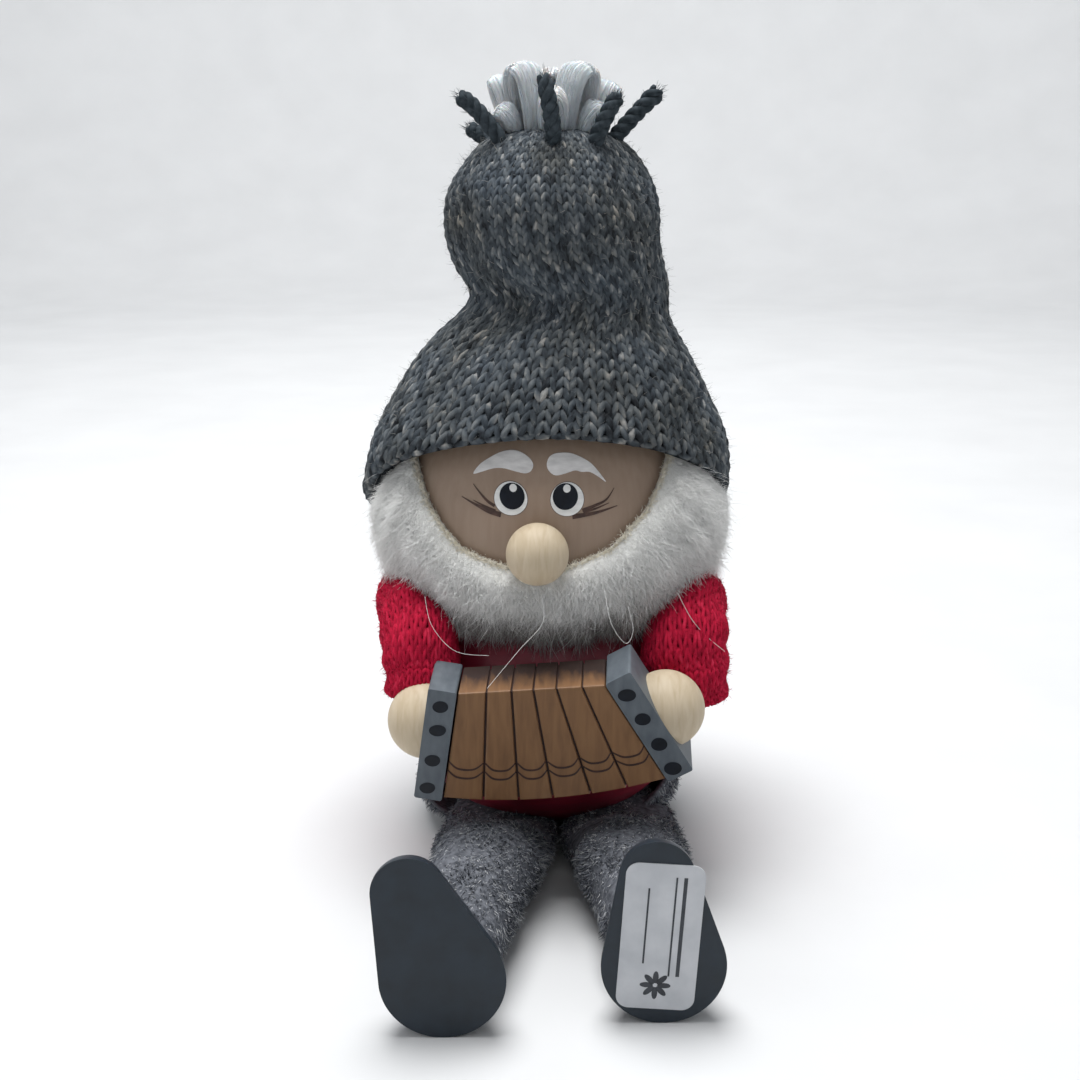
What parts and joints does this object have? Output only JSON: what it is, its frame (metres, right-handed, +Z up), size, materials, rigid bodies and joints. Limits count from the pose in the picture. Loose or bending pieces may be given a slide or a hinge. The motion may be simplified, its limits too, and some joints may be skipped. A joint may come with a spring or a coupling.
{
  "type": "tomte gnome figurine",
  "caption": "Sitting gnome figurine in a tall knitted hat with a fur beard, holding an accordion, with stuffed legs that swing at the hips.",
  "frame": {"origin": "on the axis of the turned body, in the plane of the seat that the figure sits on", "axes": "+Z up, the figure faces -Y, its own left side is +X"},
  "size_m": [0.0773, 0.129, 0.16],
  "materials": {
    "face_paint": "thin brown stain over fine turned wood, painted eyes and brows",
    "red_paint": "satin red paint on turned wood",
    "bare_wood": "natural turned wood with a thin satin lacquer",
    "beard_fur": "long white fur pile",
    "hat_knit": "chunky grey marled wool knit",
    "hat_yarn": "thick dark grey wool yarn",
    "wool_roving": "loose white wool roving",
    "wadding": "loose polyester wadding",
    "sleeve_cloth": "soft red brushed knit",
    "trouser_cloth": "heathered grey brushed fleece",
    "cord": "plain twisted cotton cord",
    "bellows_paint": "brown stained wood with fine burnt lines",
    "end_paint": "matt blue-grey paint on wood with dark dots",
    "shoe_paint": "satin blue-black paint on turned wood",
    "label_foil": "satin silvery paper sticker"
  },
  "bodies": {
    "torso": {"head": "face_paint", "body": "red_paint", "neck_dowel": "bare_wood", "nose": "bare_wood", "nose_pin": "bare_wood", "beard": "beard_fur", "hat_crown": "hat_knit", "trouser_seat": "trouser_cloth"},
    "hat_tip": {"hat_peak": "hat_knit", "hat_stuffing": "wadding", "pompom_roving": "wool_roving", "pompom_yarn": "hat_yarn"},
    "accordion_arms": {"accordion_bellows": "bellows_paint", "left_accordion_end": "end_paint", "right_accordion_end": "end_paint", "left_hand": "bare_wood", "left_arm_cord": "cord", "left_sleeve": "sleeve_cloth", "right_hand": "bare_wood", "right_arm_cord": "cord", "right_sleeve": "sleeve_cloth"},
    "left_leg": {"left_trouser_leg": "trouser_cloth", "left_leg_filling": "wadding", "left_leg_cord": "cord", "left_shoe": "shoe_paint", "sole_label": "label_foil"},
    "right_leg": {"right_trouser_leg": "trouser_cloth", "right_leg_filling": "wadding", "right_leg_cord": "cord", "right_shoe": "shoe_paint"}
  },
  "joints": [
    {"name": "hat_tip_bend", "type": "hinge", "parent": "torso", "child": "hat_tip", "pos_m": [0.0022, 0, 0.113], "axis": [1, 0, 0], "range_deg": [-30, 30]},
    {"name": "arms_lift", "type": "hinge", "parent": "torso", "child": "accordion_arms", "pos_m": [0, -0.006, 0.052], "axis": [1, 0, 0], "range_deg": [-7, 0]},
    {"name": "left_hip", "type": "hinge", "parent": "torso", "child": "left_leg", "pos_m": [0, -0.016, 0], "axis": [1, 0, 0], "range_deg": [0, 90]},
    {"name": "right_hip", "type": "hinge", "parent": "torso", "child": "right_leg", "pos_m": [0, -0.016, 0], "axis": [1, 0, 0], "range_deg": [0, 90]}
  ]
}
